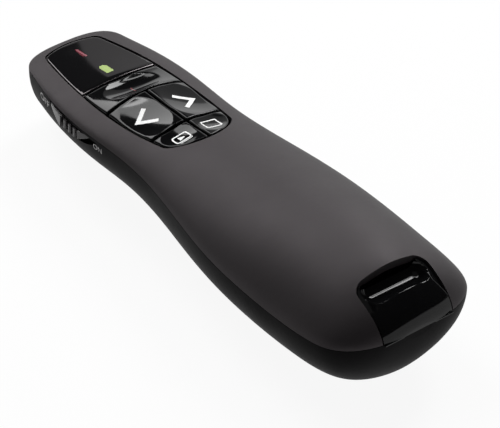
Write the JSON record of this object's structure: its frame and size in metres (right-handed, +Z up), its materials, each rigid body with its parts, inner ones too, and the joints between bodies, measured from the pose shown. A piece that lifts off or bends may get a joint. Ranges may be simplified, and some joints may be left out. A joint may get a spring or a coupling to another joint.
{
  "type": "wireless presentation clicker",
  "caption": "Hand-held wireless presentation remote with gloss keys, laser pointer, side power slider, sliding battery door and a stowed USB receiver.",
  "frame": {"origin": "middle of the case, on the surface that it lies on", "axes": "+Y towards the nose that the laser leaves by, +Z up through the keys, +X to the right when held"},
  "size_m": [0.0378, 0.1156, 0.0274],
  "materials": {
    "soft_black": "matte soft-touch coat",
    "grained_black": "fine grained satin",
    "gloss_black": "polished gloss",
    "smoked_window": "polished gloss",
    "slider_black": "satin",
    "board_green": "solder mask over glass fibre",
    "chip_black": "moulded package",
    "switch_metal": "plated sheet",
    "can_metal": "plated can",
    "antenna_copper": "gold flash",
    "lamp_clear": "clear resin",
    "guide_clear": "clear acrylic",
    "barrel_brass": "machined",
    "lens_clear": "clear lens",
    "bezel_steel": "turned",
    "lead_red": "insulated wire",
    "nylon_white": "natural nylon",
    "inner_black": "satin",
    "cell_jacket": "printed jacket",
    "spring_steel": "nickel plated",
    "plate_steel": "nickel plated",
    "plug_steel": "nickel plated",
    "contact_gold": "gold flash",
    "screw_steel": "black oxide"
  },
  "bodies": {
    "shell": {"top_case": "soft_black", "bottom_case": "grained_black", "status_window": "smoked_window", "main_board": "board_green", "tact_switches": "switch_metal", "controller_chip": "chip_black", "radio_chip": "chip_black", "clock_crystal": "can_metal", "board_passives": "nylon_white", "strip_antenna": "antenna_copper", "battery_lamp": "lamp_clear", "laser_lamp": "lamp_clear", "battery_light_guide": "guide_clear", "laser_light_guide": "guide_clear", "laser_barrel": "barrel_brass", "laser_diode": "can_metal", "laser_lens": "lens_clear", "laser_bezel": "bezel_steel", "laser_glass": "lens_clear", "laser_leads": "lead_red", "laser_clamp": "nylon_white", "power_switch_body": "switch_metal", "battery_tray": "inner_black", "battery_leads": "lead_red", "cell_left": "cell_jacket", "cell_right": "cell_jacket", "spring_left": "spring_steel", "spring_right": "spring_steel", "bridge_plate": "plate_steel", "positive_plate": "plate_steel", "negative_plate": "plate_steel", "receiver_bay": "inner_black", "case_screws": "screw_steel", "board_screws": "screw_steel"},
    "laser_key": {"laser_button": "gloss_black", "laser_plunger": "nylon_white"},
    "back_key": {"back_button": "gloss_black", "back_plunger": "nylon_white"},
    "next_key": {"next_button": "gloss_black", "next_plunger": "nylon_white"},
    "slideshow_key": {"slideshow_button": "gloss_black", "slideshow_plunger": "nylon_white"},
    "blank_key": {"blank_button": "gloss_black", "blank_plunger": "nylon_white"},
    "power_slider": {"power_switch_knob": "slider_black", "power_switch_lever": "slider_black"},
    "receiver": {"receiver_cap": "gloss_black", "receiver_base": "gloss_black", "usb_shell": "plug_steel", "usb_tongue": "inner_black", "usb_contacts": "contact_gold", "receiver_board": "board_green", "receiver_chip": "chip_black", "receiver_crystal": "can_metal"},
    "door": {"battery_door": "grained_black"}
  },
  "joints": [
    {"name": "laser_press", "type": "slide", "parent": "shell", "child": "laser_key", "axis": [0, 0, -1], "range_m": [0, 0.0005], "stiffness_N_per_m": 1500},
    {"name": "back_press", "type": "slide", "parent": "shell", "child": "back_key", "axis": [0, 0, -1], "range_m": [0, 0.0005], "stiffness_N_per_m": 1500},
    {"name": "next_press", "type": "slide", "parent": "shell", "child": "next_key", "axis": [0, 0, -1], "range_m": [0, 0.0005], "stiffness_N_per_m": 1500},
    {"name": "slideshow_press", "type": "slide", "parent": "shell", "child": "slideshow_key", "axis": [0, 0, -1], "range_m": [0, 0.0005], "stiffness_N_per_m": 1500},
    {"name": "blank_press", "type": "slide", "parent": "shell", "child": "blank_key", "axis": [0, 0, -1], "range_m": [0, 0.0005], "stiffness_N_per_m": 1500},
    {"name": "power_slide", "type": "slide", "parent": "shell", "child": "power_slider", "axis": [0, -1, 0], "range_m": [0, 0.0022]},
    {"name": "receiver_slide", "type": "slide", "parent": "shell", "child": "receiver", "axis": [0, -0.9994, 0.0349], "range_m": [0, 0.06]},
    {"name": "door_slide", "type": "slide", "parent": "shell", "child": "door", "axis": [0, -1, 0], "range_m": [0, 0.058]}
  ]
}
